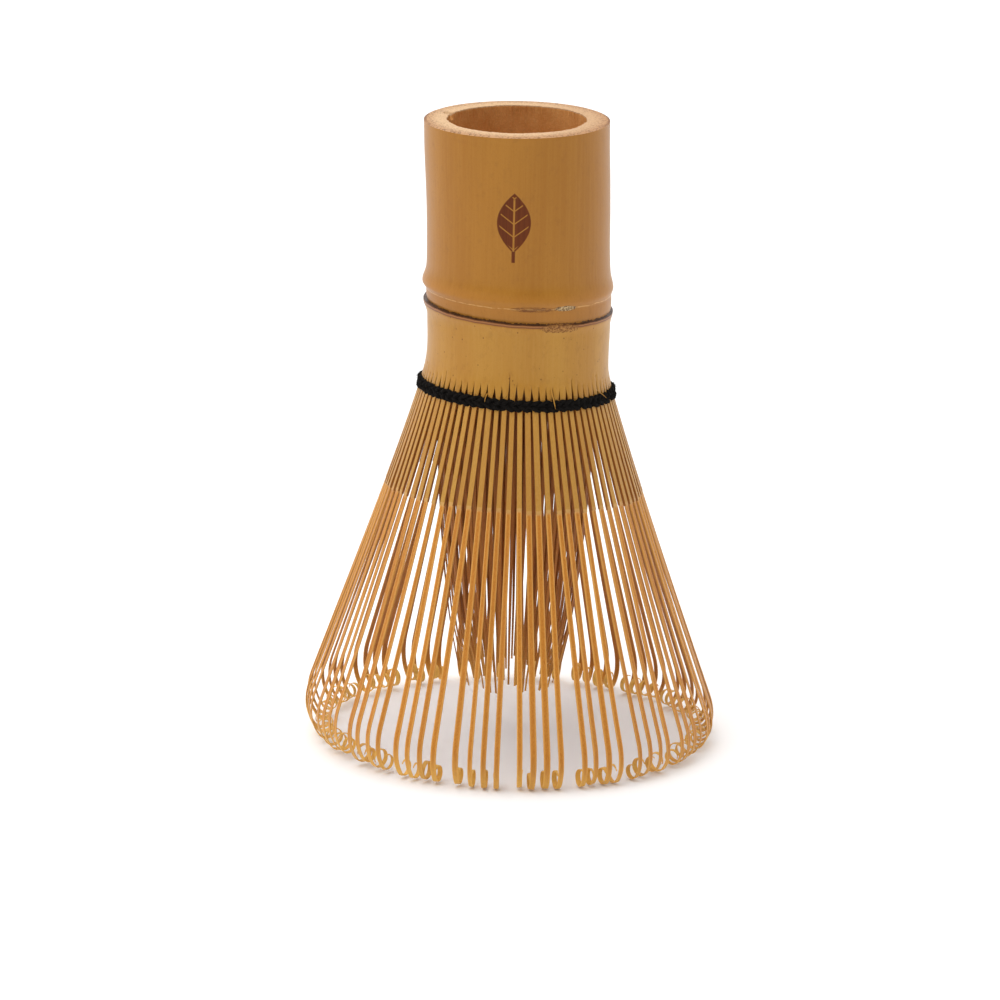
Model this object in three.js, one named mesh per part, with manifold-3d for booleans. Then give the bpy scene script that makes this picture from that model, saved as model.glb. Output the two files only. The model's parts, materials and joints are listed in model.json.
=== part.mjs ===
// A bamboo tea whisk, standing on the curled tips of its tines with its handle up.
// Millimetres, +Z up. The origin is on the resting plane, on the handle's axis.
//
// The real whisk is split out of one bamboo culm. Below the weave the culm's skin is split into
// twenty sections, and each section into outer tines, which flare out, and inner tines, which
// gather in the middle. Black cotton thread holds the two rows apart. Here each section's outer
// and inner tines are pieces of their own, which flex about the weave.

import * as THREE from "three";
import { mergeVertices } from "three/addons/utils/BufferGeometryUtils.js";
import Module from "manifold-3d";

const wasm = await Module();
wasm.setup();

// The culm.
const HEIGHT = 103.5;
const CULM_RADIUS = 15;
const BORE_RADIUS = 11.25;
const NODE_HEIGHT = 75.6;
const SCAR_HEIGHT = 72.8;
const SEPTUM_TOP = 76.8;
const SEPTUM_BOTTOM = 74.4;
const CULM_SIDES = 40;

// The weave's plane, which isn't quite square to the culm: it rises towards -X and -Y.
const WEAVE_HEIGHT = 59.2;
const WEAVE_SLOPE_X = -0.038;
const WEAVE_SLOPE_Y = -0.058;

// The culm takes on the tilt along X over its node, and the tilt along Y below its scar.
const TILT_X_START = 92;
const TILT_X_END = 78;

// The rows of tines. Heights from the weave are positive upwards.
const SECTION_COUNT = 20;
const TINES_PER_SECTION = 4;
const SECTION_ANGLE = (2 * Math.PI) / SECTION_COUNT;
const TINE_ANGLE = SECTION_ANGLE / TINES_PER_SECTION;
const OUTER_ROOT_RADIUS = 14.8;
const INNER_ROOT_RADIUS = 12.7;
const ROOT_TOP = 0.9;
const CULM_END = 1.5;
const PLATE_THICKNESS = 0.5;
const PLATE_SHARE = 0.95;

// The outer tine's end: its flare up to the shoulder, then the arcs that it curls in by.
const SHOULDER_RADIUS = 33.1;
const FLARE = 19.5;
const CURL_ARCS = [
  { radius: 11.5, turnTo: 0, steps: 1, width: 0.66, thickness: 0.22 },
  { radius: 6.5, turnTo: -30, steps: 1, width: 0.64, thickness: 0.2 },
  { radius: 1.55, turnTo: -270, steps: 4, width: 0.56, thickness: 0.18 },
];

// The threads. Their ends, and the climb from one round to the next, are at the back.
const THREAD_DIAMETER = 0.8;
const THREAD_PITCH = 1.1;
const THREAD_SIDES = 8;
const THREAD_END_GAP = 20;
const UPPER_WEAVE_RADIUS = 15.9;
const LOWER_WEAVE_RADIUS = 13.8;

const degrees = (angle) => (angle * Math.PI) / 180;

const matt = (color, roughness) =>
  new THREE.MeshStandardMaterial({ color, roughness, metalness: 0 });
const culmMaterial = matt(0xb5803f, 0.4);
const outerTineMaterial = matt(0xcf9445, 0.5);
const innerTineMaterial = matt(0x9a6430, 0.55);
const threadMaterial = matt(0x14110e, 0.9);

const whisk = new THREE.Group();

function addPart(name, geometry, material) {
  const mesh = new THREE.Mesh(geometry, material);
  mesh.name = name;
  whisk.add(mesh);
}

// manifold-3d's solid of a closed geometry, and back.
function toSolid(geometry) {
  const bare = geometry.clone().deleteAttribute("normal").deleteAttribute("uv");
  const merged = mergeVertices(bare);
  return new wasm.Manifold(
    new wasm.Mesh({
      numProp: 3,
      vertProperties: merged.attributes.position.array,
      triVerts: new Uint32Array(merged.index.array),
    }),
  );
}

function toGeometry(solid) {
  const mesh = solid.getMesh();
  const geometry = new THREE.BufferGeometry();
  geometry.setAttribute("position", new THREE.BufferAttribute(mesh.vertProperties, 3));
  geometry.setIndex(new THREE.BufferAttribute(mesh.triVerts, 1));
  geometry.computeVertexNormals();
  return geometry;
}

// How far the weave's plane stands over its mean height.
function weaveRise(x, y) {
  return WEAVE_SLOPE_X * x + WEAVE_SLOPE_Y * y;
}

// The culm: bored at the top, closed by the septum inside its node, and hollow again below.
function culmGeometry() {
  const end = WEAVE_HEIGHT + CULM_END;
  const outline = [
    [0, SEPTUM_TOP],
    [BORE_RADIUS - 1, SEPTUM_TOP],
    [BORE_RADIUS, SEPTUM_TOP + 1.5],
    [BORE_RADIUS, HEIGHT],
    [CULM_RADIUS, HEIGHT],
    [CULM_RADIUS - 0.24, NODE_HEIGHT + 7.4],
    [CULM_RADIUS - 0.05, NODE_HEIGHT + 2.6],
    [CULM_RADIUS + 0.35, NODE_HEIGHT + 0.6],
    [CULM_RADIUS, NODE_HEIGHT - 0.8],
    [CULM_RADIUS - 0.1, SCAR_HEIGHT + 0.8],
    [CULM_RADIUS + 0.1, SCAR_HEIGHT],
    [CULM_RADIUS - 0.15, SCAR_HEIGHT - 1.2],
    [CULM_RADIUS - 0.3, end + 5],
    [CULM_RADIUS - 0.2, end + 1.5],
    [CULM_RADIUS, end],
    [BORE_RADIUS + 0.5, end],
    [BORE_RADIUS + 0.5, SEPTUM_BOTTOM - 1.5],
    [BORE_RADIUS - 1, SEPTUM_BOTTOM],
    [0, SEPTUM_BOTTOM],
  ];
  const points = outline.map(([r, z]) => new THREE.Vector2(r, z)).reverse();
  const culm = new THREE.LatheGeometry(points, CULM_SIDES).rotateX(Math.PI / 2);
  const position = culm.attributes.position;
  for (let i = 0; i < position.count; i++) {
    const z = position.getZ(i);
    const x = position.getX(i) * share(TILT_X_START, TILT_X_END, z);
    const y = position.getY(i) * share(SCAR_HEIGHT, end, z);
    position.setZ(i, z + weaveRise(x, y));
  }
  return culm;
}

// How far z has come on its way from start to end, from 0 to 1.
function share(start, end, z) {
  return THREE.MathUtils.clamp((start - z) / (start - end), 0, 1);
}

// A flat strip through points of {r, z, side, width, thickness}, at azimuth 0. side is how far
// a point is turned about Z from there. The strip's heading is taken from straight down.
function bentStrip(points) {
  const stations = points.map((point, i) => {
    const before = points[Math.max(i - 1, 0)];
    const after = points[Math.min(i + 1, points.length - 1)];
    return { ...point, heading: Math.atan2(after.r - before.r, before.z - after.z) };
  });
  const steps = points.length - 1;
  const strip = new THREE.BoxGeometry(1, 1, 1, 1, 1, steps);
  const position = strip.attributes.position;
  for (let i = 0; i < position.count; i++) {
    const { r, z, side, width, thickness, heading } =
      stations[Math.round((0.5 - position.getZ(i)) * steps)];
    const across = -position.getX(i) * width;
    const outwards = position.getY(i) * thickness;
    const radius = r + outwards * Math.cos(heading);
    position.setXYZ(
      i,
      radius * Math.cos(side) - across * Math.sin(side),
      radius * Math.sin(side) + across * Math.cos(side),
      z + outwards * Math.sin(heading),
    );
  }
  return strip;
}

// The curl's points after the shoulder, measured from it. On an arc that turns from one heading
// to another, the strip moves out by the radius times the change of cosine, and up by the
// radius times the change of sine.
function curlPoints() {
  const points = [];
  let last = { r: 0, z: 0, heading: degrees(FLARE) };
  for (const { radius, turnTo, steps, width, thickness } of CURL_ARCS) {
    const from = last;
    for (let step = 1; step <= steps; step++) {
      const heading = THREE.MathUtils.lerp(from.heading, degrees(turnTo), step / steps);
      last = {
        r: from.r + radius * (Math.cos(heading) - Math.cos(from.heading)),
        z: from.z + radius * (Math.sin(heading) - Math.sin(from.heading)),
        heading,
      };
      points.push({ ...last, width, thickness });
    }
  }
  return points;
}

// The outer tine flares from the weave to its shoulder, and curls in to touch the plane.
function outerTine(weaveHeight, rootSide) {
  const tipSide = rootSide * 0.91;
  const curl = curlPoints();
  const shoulderHeight = -Math.min(...curl.map(({ z, thickness }) => z - thickness / 2));
  const points = [
    {
      r: OUTER_ROOT_RADIUS,
      z: weaveHeight + ROOT_TOP,
      side: rootSide,
      width: 0.84,
      thickness: 0.34,
    },
    {
      r: OUTER_ROOT_RADIUS + 0.5,
      z: weaveHeight + ROOT_TOP - 2.4,
      side: rootSide,
      width: 0.84,
      thickness: 0.34,
    },
    { r: SHOULDER_RADIUS, z: shoulderHeight, side: tipSide, width: 0.68, thickness: 0.24 },
  ];
  for (const { r, z, width, thickness } of curl) {
    points.push({
      r: SHOULDER_RADIUS + r,
      z: shoulderHeight + z,
      side: tipSide,
      width,
      thickness,
    });
  }
  return bentStrip(points);
}

// The inner tine leans in, towards the middle of the whisk, and ends short of the plane.
function innerTine(weaveHeight, rootSide) {
  const side = rootSide * 0.95;
  return bentStrip([
    { r: INNER_ROOT_RADIUS, z: weaveHeight + ROOT_TOP, side, width: 0.52, thickness: 0.34 },
    { r: INNER_ROOT_RADIUS - 0.7, z: 43, side, width: 0.5, thickness: 0.3 },
    { r: INNER_ROOT_RADIUS - 2.7, z: 23, side, width: 0.44, thickness: 0.24 },
    { r: INNER_ROOT_RADIUS - 5, z: 9, side, width: 0.38, thickness: 0.16 },
  ]);
}

// The stub of the section's skin that its tines grow out of, behind the weave.
function rootPlate(weaveHeight, radius) {
  const width = 2 * radius * Math.tan((SECTION_ANGLE / 2) * PLATE_SHARE);
  const plate = new THREE.BoxGeometry(PLATE_THICKNESS, width, 2 * ROOT_TOP);
  return plate.translate(radius, 0, weaveHeight);
}

// One section's row of tines on its root plate, made at azimuth 0 and turned to its own.
function section(azimuth, tine, rootRadius) {
  const rise = weaveRise(rootRadius * Math.cos(azimuth), rootRadius * Math.sin(azimuth));
  const weaveHeight = WEAVE_HEIGHT + rise;
  let solid = toSolid(rootPlate(weaveHeight, rootRadius));
  for (let i = 0; i < TINES_PER_SECTION; i++) {
    const side = (i - (TINES_PER_SECTION - 1) / 2) * TINE_ANGLE;
    solid = solid.add(toSolid(tine(weaveHeight, side)));
  }
  return toGeometry(solid).rotateZ(azimuth);
}

// A thread's route round the whisk, in the weave's plane. It starts and ends at the back, where
// it also climbs from each round to the next.
class WeavePath extends THREE.Curve {
  constructor(radius, rounds) {
    super();
    this.radius = radius;
    this.rounds = rounds;
  }

  getPoint(share) {
    const halfGap = degrees(THREAD_END_GAP / 2);
    const turn = THREE.MathUtils.lerp(halfGap, this.rounds * 2 * Math.PI - halfGap, share);
    let climb = 0.5 * (1 - this.rounds);
    for (let round = 1; round < this.rounds; round++) {
      const crossing = round * 2 * Math.PI;
      climb += THREE.MathUtils.smoothstep(turn, crossing - halfGap, crossing + halfGap);
    }
    const x = this.radius * Math.cos(turn + Math.PI / 2);
    const y = this.radius * Math.sin(turn + Math.PI / 2);
    return new THREE.Vector3(x, y, WEAVE_HEIGHT + weaveRise(x, y) + climb * THREAD_PITCH);
  }
}

function threadGeometry(radius, rounds, steps) {
  const section = new THREE.Shape(
    Array.from({ length: THREAD_SIDES }, (_, i) => {
      const turn = (i / THREAD_SIDES) * 2 * Math.PI;
      const half = THREAD_DIAMETER / 2;
      return new THREE.Vector2(half * Math.cos(turn), half * Math.sin(turn));
    }),
  );
  return new THREE.ExtrudeGeometry(section, {
    steps,
    extrudePath: new WeavePath(radius, rounds),
  });
}

addPart("culm_handle", culmGeometry(), culmMaterial);
addPart("upper_weave_thread", threadGeometry(UPPER_WEAVE_RADIUS, 2, 70), threadMaterial);
addPart("lower_weave_thread", threadGeometry(LOWER_WEAVE_RADIUS, 1, 34), threadMaterial);

for (let i = 0; i < SECTION_COUNT; i++) {
  const azimuth = (i + 0.5) * SECTION_ANGLE - Math.PI / 2;
  const number = String(i + 1).padStart(2, "0");
  const outer = section(azimuth, outerTine, OUTER_ROOT_RADIUS);
  addPart(`outer_tines_${number}`, outer, outerTineMaterial);
  const inner = section(azimuth, innerTine, INNER_ROOT_RADIUS);
  addPart(`inner_tines_${number}`, inner, innerTineMaterial);
}

export default whisk;
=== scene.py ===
import json
import math

import bmesh
import bpy
import numpy as np
from mathutils import Matrix, Vector


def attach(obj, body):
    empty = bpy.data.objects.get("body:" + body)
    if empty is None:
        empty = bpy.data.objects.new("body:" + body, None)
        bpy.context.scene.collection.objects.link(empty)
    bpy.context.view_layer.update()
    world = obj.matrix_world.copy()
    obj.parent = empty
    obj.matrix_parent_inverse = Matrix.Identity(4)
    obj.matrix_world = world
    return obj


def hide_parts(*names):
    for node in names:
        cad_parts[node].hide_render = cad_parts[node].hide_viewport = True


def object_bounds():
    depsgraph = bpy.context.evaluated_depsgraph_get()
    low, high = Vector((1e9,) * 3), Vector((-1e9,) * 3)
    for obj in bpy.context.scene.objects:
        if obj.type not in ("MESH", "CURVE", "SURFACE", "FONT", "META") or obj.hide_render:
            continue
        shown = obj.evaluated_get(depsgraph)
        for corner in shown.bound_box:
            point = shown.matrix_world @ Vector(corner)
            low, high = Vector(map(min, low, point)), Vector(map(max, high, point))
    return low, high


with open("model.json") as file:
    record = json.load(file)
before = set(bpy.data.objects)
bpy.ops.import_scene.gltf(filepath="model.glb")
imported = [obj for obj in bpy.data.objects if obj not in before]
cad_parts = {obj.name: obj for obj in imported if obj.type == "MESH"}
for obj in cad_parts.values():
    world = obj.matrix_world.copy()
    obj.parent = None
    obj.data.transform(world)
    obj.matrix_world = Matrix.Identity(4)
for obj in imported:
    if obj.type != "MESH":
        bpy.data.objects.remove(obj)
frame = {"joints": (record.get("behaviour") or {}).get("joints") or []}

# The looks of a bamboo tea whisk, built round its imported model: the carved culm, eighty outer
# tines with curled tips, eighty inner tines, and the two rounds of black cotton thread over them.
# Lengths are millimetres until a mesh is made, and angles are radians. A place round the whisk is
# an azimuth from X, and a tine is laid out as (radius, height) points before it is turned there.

CAD_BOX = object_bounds()
MM = 0.001

# ---- places, from the frame ----

REACH, _, TOP = np.array(CAD_BOX[1]) / MM
HINGES = np.array([joint["pos_m"] for joint in frame["joints"]]) / MM

# The weave's plane goes through the hinges of all the sections.
HINGE_ROWS = np.c_[HINGES[:, :2], np.ones(len(HINGES))]
WEAVE_PLANE = np.linalg.lstsq(HINGE_ROWS, HINGES[:, 2], rcond=None)[0]
WEAVE_SLOPE_X, WEAVE_SLOPE_Y, WEAVE_HEIGHT = WEAVE_PLANE

FRONT = -math.pi / 2
BACK = math.pi / 2
WHOLE_TURN = 2 * math.pi
UP = np.array([0.0, 0.0, 1.0])

# ---- the culm's sizes ----

CULM_RADIUS = 15.0
BORE_RADIUS = 11.25
SKIRT_BORE_RADIUS = 11.9
BORE_WANDER = 0.08
MIDDLE_RADIUS = 0.4
SKIN_HEIGHTS = (59.0, 60.4, 61.4, 62.6, 64, 66, 69, 71.6, 73.6, 77.6, 79.2, 82, 88, 96, 103.3)
SKIN_RADII = (15.62, 15.36, 15.12, 14.92, 14.82, 14.78, 14.86, 14.92, 15.02, 15.02, 14.92, 14.85,
              14.87, 14.96, 15.02)
BOW_HEIGHTS = (WEAVE_HEIGHT, 62, 66, 70, 82, 89, 94, 98.5, 103.2)
BOW_SHIFTS = (0, 0.05, 0.15, 0.15, -0.15, -0.3, -0.5, -0.72, -0.85)

NODE_HEIGHT = 75.35
NODE_SLOPE_X = -0.02
RIDGE = 0.46
RIDGE_ABOVE_NODE = 0.95
NODE_GROOVE = 0.05
SEPTUM_TOP = 77.0
SEPTUM_BOTTOM = 74.2

SCAR_HEIGHT = 72.92
SCAR_SLOPE_X = -0.05
SCAR_LEDGE = 0.44
SCAR_GROOVE = 0.1

RIM_SLOPE_X = 0.01
RIM_HEIGHT = TOP - RIM_SLOPE_X * CULM_RADIUS - 0.03
RIM_BEVEL = 0.15
CHIP_AZIMUTH = math.radians(159)
CHIP_HALF_ANGLE = 0.06

TOOTH_COUNT = 80
TOOTH_COLUMNS = 8
GAP_HALF_WIDTHS = (0.14, 0.24)
TALL_SLOTS = 13
TALLER_BY = (0.7, 1.8)
NOTCH_DEPTH = 0.75
TOOTH_CROWN = 0.05
TOOTH_END = WEAVE_HEIGHT - 0.1
# Each splinter's azimuth in degrees, its root and its end over the weave, and its width.
SPLINTERS = (
    (-68.5, 2.5, -0.6, 0.34),
    (-108, 1.1, 0.1, 0.26),
    (-31, 1.5, 0.3, 0.24),
)
SPLINTER_THICKNESS = 0.14

# The culm's materials, in order.
SKIN_SLOT, GRAIN_SLOT, BORE_SLOT = range(3)

# ---- the tines' sizes ----

TINE_ANGLE = WHOLE_TURN / TOOTH_COUNT
TINES_PER_SECTION = 4

OUTER_START_RADIUS = 15.33
OUTER_START_OVER_WEAVE = 0.45
OUTER_GATHER = 0.88
RING_DROP = 16.8
SHAVED_FROM = 17
OUTER_SKIN_WIDTH = 0.84
# Shaved widths at the ring, the shoulder and the tip.
OUTER_WIDTHS = (0.82, 0.95, 0.78)
SHOULDER_RADIUS = 33.1
SHOULDER_HEIGHT = 7.95
FLARE_TOP = math.radians(17.0)
FLARE_BOTTOM = math.radians(19.5)
SHOULDER_ARC = 9.6
CURL_IN = -math.radians(38)
LOOP_RADII = (1.28, 1.72)
# How far a loop winds, in degrees.
LOOP_ENDS = (300, 430)
LOOP_STEPS = 40
LOOP_TIGHTENING = 0.3
LEFT_LIFT = 0.7
RIGHT_LIFT = 0.3
FLOOR_GAP = 0.09
REACH_GAP = 0.13

INNER_GATHER = 0.95
INNER_SHIFT = 0.36 * TINE_ANGLE
INNER_STATIONS = 26
INNER_WIDTHS = (0.88, 0.8, 0.5, 0.32)
INNER_THICKNESSES = (0.34, 0.26, 0.12)

# ---- the threads' sizes ----

UPPER_RADIUS = 15.66
CORE_RADIUS = 15.64
LOWER_RADIUS = 13.85
ROUND_RISE = 0.47
STEP_HALF_ANGLE = 0.12
THREAD_SAG = 0.5
THREAD_TUCK = 0.1
UPPER_STRAND = 0.7
LOWER_STRAND = 0.66
STRAND_OFFSET = 0.24
STRAND_SIDES = 9
TWISTS = 34
HAIR_RADIUS = 0.016


def smooth(low, high, value):
    """From 0 at low to 1 at high, with level ends."""
    t = np.clip((np.asarray(value, float) - low) / (high - low), 0, 1)
    return t * t * (3 - 2 * t)


def curve(knots, values, at):
    """A smooth curve through values at rising knots, read at the given places."""
    knots = np.asarray(knots, float)
    values = np.asarray(values, float)
    at = np.clip(at, knots[0], knots[-1])
    slopes = np.gradient(values, knots)
    i = np.clip(np.searchsorted(knots, at) - 1, 0, len(knots) - 2)
    step = knots[i + 1] - knots[i]
    t = (at - knots[i]) / step
    return (
        (2 * t**3 - 3 * t**2 + 1) * values[i]
        + (t**3 - 2 * t**2 + t) * step * slopes[i]
        + (3 * t**2 - 2 * t**3) * values[i + 1]
        + (t**3 - t**2) * step * slopes[i + 1]
    )


def waves(angle, counts, seed):
    """A wandering value of about -1 to 1 round the culm, made of whole numbers of waves."""
    local = np.random.default_rng(seed)
    total = np.zeros_like(angle)
    for count in counts:
        total += np.sin(count * angle + local.uniform(0, WHOLE_TURN))
    return total / math.sqrt(len(counts))


def spread(local, width):
    """A random offset of about width, and never more than one and a half times it."""
    return float(np.clip(local.normal(0, width), -1.5 * width, 1.5 * width))


# ---- meshes ----

# Points closer than this, in metres, are one.
SEAM = 1e-7
SHARP_EDGE = math.radians(38)


class Lofts:
    """Closed tubes of rings of points, gathered into one mesh with values at each point."""

    def __init__(self):
        self.points = []
        self.faces = []
        self.values = {}
        self.materials = []
        self.count = 0

    def add(self, rings, materials=None, **values):
        """rings is stations x points x 3. A value is one number, one per station, or one per
        point. materials gives a slot for each stretch between two stations."""
        rings = np.asarray(rings, float)
        stations, around = rings.shape[:2]
        index = self.count + np.arange(stations * around).reshape(stations, around)
        beside = np.roll(index, -1, axis=1)
        quads = np.stack([index[:-1], beside[:-1], beside[1:], index[1:]], axis=-1)
        self.faces += quads.reshape(-1, 4).tolist()
        slots = np.zeros(stations - 1, int) if materials is None else np.asarray(materials)
        self.materials += np.repeat(slots, around).tolist()
        self.faces += [index[0][::-1].tolist(), index[-1].tolist()]
        self.materials += [int(slots[0]), int(slots[-1])]
        self.points.append(rings.reshape(-1, 3))
        for name, value in values.items():
            value = np.asarray(value, float)
            if value.ndim == 1:
                value = value[:, None]
            full = np.broadcast_to(value, (stations, around)).reshape(-1)
            self.values.setdefault(name, []).append(full)
        self.count += stations * around

    def build(self, name, materials):
        mesh = bpy.data.meshes.new(name)
        mesh.from_pydata((np.concatenate(self.points) * MM).tolist(), [], self.faces)
        for key, parts in self.values.items():
            layer = mesh.attributes.new(key, "FLOAT", "POINT")
            layer.data.foreach_set("value", np.concatenate(parts).astype(np.float32))
        for material in materials:
            mesh.materials.append(material)
        mesh.polygons.foreach_set("material_index", self.materials)
        work = bmesh.new()
        work.from_mesh(mesh)
        bmesh.ops.remove_doubles(work, verts=work.verts, dist=SEAM)
        bmesh.ops.recalc_face_normals(work, faces=work.faces)
        work.to_mesh(mesh)
        work.free()
        mesh.shade_smooth()
        mesh.set_sharp_from_angle(angle=SHARP_EDGE)
        piece = bpy.data.objects.new(name, mesh)
        bpy.context.scene.collection.objects.link(piece)
        return piece


# ---- materials ----


def colour(red, green, blue):
    """A colour for a socket, from the 0 to 255 numbers of a colour picker."""
    parts = [value / 255 for value in (red, green, blue)]
    return [v / 12.92 if v <= 0.04045 else ((v + 0.055) / 1.055) ** 2.4 for v in parts] + [1]


class Look:
    """A principled material whose nodes are joined by short calls. Coordinates are in mm."""

    def __init__(self, name, roughness, specular):
        self.material = bpy.data.materials.new(name)
        self.material.use_nodes = True
        self.tree = self.material.node_tree
        self.shader = self.tree.nodes["Principled BSDF"]
        self.shader.inputs["Roughness"].default_value = roughness
        self.shader.inputs["Specular IOR Level"].default_value = specular
        place = self.node("TexCoord").outputs["Object"]
        self.place = self.vector("MULTIPLY", place, (1 / MM, 1 / MM, 1 / MM))

    def node(self, kind):
        return self.tree.nodes.new("ShaderNode" + kind)

    def put(self, socket, value):
        if isinstance(value, bpy.types.NodeSocket):
            self.tree.links.new(value, socket)
        else:
            socket.default_value = value

    def vector(self, operation, a, b):
        node = self.node("VectorMath")
        node.operation = operation
        self.put(node.inputs[0], a)
        self.put(node.inputs[1], b)
        return node.outputs[0]

    def calculate(self, operation, a, b=0.0, c=0.0):
        node = self.node("Math")
        node.operation = operation
        for socket, value in zip(node.inputs, (a, b, c)):
            self.put(socket, value)
        return node.outputs[0]

    def plus(self, a, b):
        return self.calculate("ADD", a, b)

    def minus(self, a, b):
        return self.calculate("SUBTRACT", a, b)

    def times(self, a, b):
        return self.calculate("MULTIPLY", a, b)

    def scaled(self, value, factor, offset):
        return self.calculate("MULTIPLY_ADD", value, factor, offset)

    def largest(self, a, b):
        return self.calculate("MAXIMUM", a, b)

    def axes(self):
        node = self.node("SeparateXYZ")
        self.put(node.inputs[0], self.place)
        return node.outputs[0], node.outputs[1], node.outputs[2]

    def attribute(self, name):
        node = self.node("Attribute")
        node.attribute_name = name
        return node.outputs["Fac"]

    def smooth(self, value, low, high):
        node = self.node("MapRange")
        node.interpolation_type = "SMOOTHSTEP"
        for socket, part in zip(node.inputs, (value, low, high)):
            self.put(socket, part)
        return node.outputs[0]

    def band(self, value, middle, half, soft):
        """1 within half of middle, fading to 0 over soft."""
        distance = self.calculate("ABSOLUTE", self.minus(value, middle))
        return self.smooth(distance, half + soft, half)

    def noise(self, stretch=(1, 1, 1), scale=1.0, detail=2.0, roughness=0.5, shift=(0, 0, 0)):
        node = self.node("TexNoise")
        moved = self.vector("ADD", self.place, shift)
        self.put(node.inputs["Vector"], self.vector("MULTIPLY", moved, stretch))
        node.inputs["Scale"].default_value = scale
        node.inputs["Detail"].default_value = detail
        node.inputs["Roughness"].default_value = roughness
        return node.outputs["Fac"]

    def fibres(self, stretch):
        """Fine streaks along the wood."""
        streaks = self.noise(stretch=(1, 1, stretch), scale=7.0, detail=3, roughness=0.7)
        return self.smooth(streaks, 0.3, 0.7)

    def cells(self, stretch, scale):
        node = self.node("TexVoronoi")
        self.put(node.inputs["Vector"], self.vector("MULTIPLY", self.place, stretch))
        node.inputs["Scale"].default_value = scale
        return node.outputs["Distance"]

    def mix(self, share, a, b):
        """From tone a to tone b. A tone is a socket or the three numbers of a colour."""
        node = self.node("Mix")
        node.data_type = "RGBA"
        self.put(node.inputs[0], share)
        # The node's colour sockets come after those for numbers and vectors.
        for place, tone in ((6, a), (7, b)):
            self.put(node.inputs[place], colour(*tone) if isinstance(tone, tuple) else tone)
        return node.outputs[2]

    def over(self, tone, top, share, most):
        """Lays the tone top over a tone, by most of it where share is 1."""
        return self.mix(self.times(share, most), tone, top)

    def finish(self, tone, height, depth):
        """depth is how far the bumps of height stand out."""
        node = self.node("Bump")
        node.inputs["Strength"].default_value = 1.0
        node.inputs["Distance"].default_value = depth * MM
        self.put(node.inputs["Height"], height)
        self.put(self.shader.inputs["Normal"], node.outputs["Normal"])
        self.put(self.shader.inputs["Base Color"], tone)
        return self.material


# The burnt leaf on the front.
LEAF_X = -1.0
LEAF_HEIGHT = 89.4
LEAF_HALF_WIDTH = 2.75
LEAF_HALF_LENGTH = 4.9
VEIN_SLOPE = 0.75
VEIN_SPACING = 1.05
STALK_HALF_LENGTH = 0.85


def leaf_mark(look):
    """The burnt leaf: a pointed oval with a midrib and pairs of veins left unburnt, and a short
    stalk."""
    x, y, z = look.axes()
    across = look.calculate("ABSOLUTE", look.minus(x, LEAF_X))
    along = look.minus(z, LEAF_HEIGHT)
    share = look.calculate("DIVIDE", along, LEAF_HALF_LENGTH)
    room = look.minus(1.0, look.times(share, share))
    inside = look.minus(look.times(room, LEAF_HALF_WIDTH), across)
    blade = look.smooth(inside, -0.05, 0.12)
    midrib = look.largest(look.smooth(across, 0.1, 0.2), look.smooth(along, 3.6, 4.2))
    vein_place = look.plus(look.minus(along, look.times(across, VEIN_SLOPE)), 0.2)
    repeat = look.calculate("PINGPONG", vein_place, VEIN_SPACING)
    veins = look.largest(look.smooth(repeat, 0.06, 0.16), look.smooth(inside, 0.5, 0.3))
    blade = look.times(blade, look.times(midrib, veins))
    stalk = look.times(look.smooth(across, 0.34, 0.2),
                       look.band(along, -LEAF_HALF_LENGTH - 0.65, STALK_HALF_LENGTH, 0.15))
    return look.times(look.largest(blade, stalk), look.smooth(y, 0.0, -5.0))


def front_patch(look, height, centre_x, centre_height, half_width, half_height, ragged):
    """A ragged oval on the front. height is any value that falls evenly down the culm."""
    x, y, _ = look.axes()
    dx = look.calculate("DIVIDE", look.minus(x, centre_x), half_width)
    dz = look.calculate("DIVIDE", look.minus(height, centre_height), half_height)
    square = look.plus(look.times(dx, dx), look.times(dz, dz))
    shaken = look.plus(square, look.times(look.minus(ragged, 0.5), 2.2))
    return look.times(look.smooth(shaken, 1.0, 0.75), look.smooth(y, 0.0, -4.0))


def skin_wood(look, over_scar, streaks, grain):
    """The skin's plain wood. The internode below the scar is greener and paler."""
    broad = look.smooth(look.noise(stretch=(1, 1, 0.12), scale=0.16, detail=3), 0.3, 0.7)
    streak_share = look.times(look.smooth(streaks, 0.35, 0.7), 0.3)
    grain_share = look.times(look.smooth(grain, 0.45, 0.8), 0.3)
    upper = look.mix(broad, (171, 115, 38), (163, 107, 33))
    upper = look.mix(streak_share, upper, (178, 124, 48))
    upper = look.mix(grain_share, upper, (150, 92, 30))
    lower = look.mix(broad, (186, 135, 55), (177, 124, 47))
    lower = look.mix(streak_share, lower, (191, 143, 66))
    lower = look.mix(grain_share, lower, (166, 112, 40))
    return look.mix(look.smooth(over_scar, -0.5, -0.9), upper, lower)


def with_node(look, tone, level):
    """The node: a redder ridge, redder wood under it, and a pale, broken line between."""
    over_node = look.minus(level, NODE_HEIGHT)
    tone = look.over(tone, (182, 122, 54), look.band(over_node, 0.8, 0.5, 1.6), 0.35)
    tone = look.over(tone, (176, 116, 54), look.band(over_node, -1.2, 0.7, 0.5), 0.3)
    wander = look.times(look.minus(look.noise(scale=0.5, shift=(7, 3, 1)), 0.5), 0.35)
    broken = look.smooth(look.noise(scale=0.9, shift=(2, 9, 4)), 0.3, 0.55)
    pale = look.times(look.band(look.plus(over_node, wander), 0.0, 0.02, 0.12), broken)
    return look.over(tone, (226, 178, 110), pale, 0.55)


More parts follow.
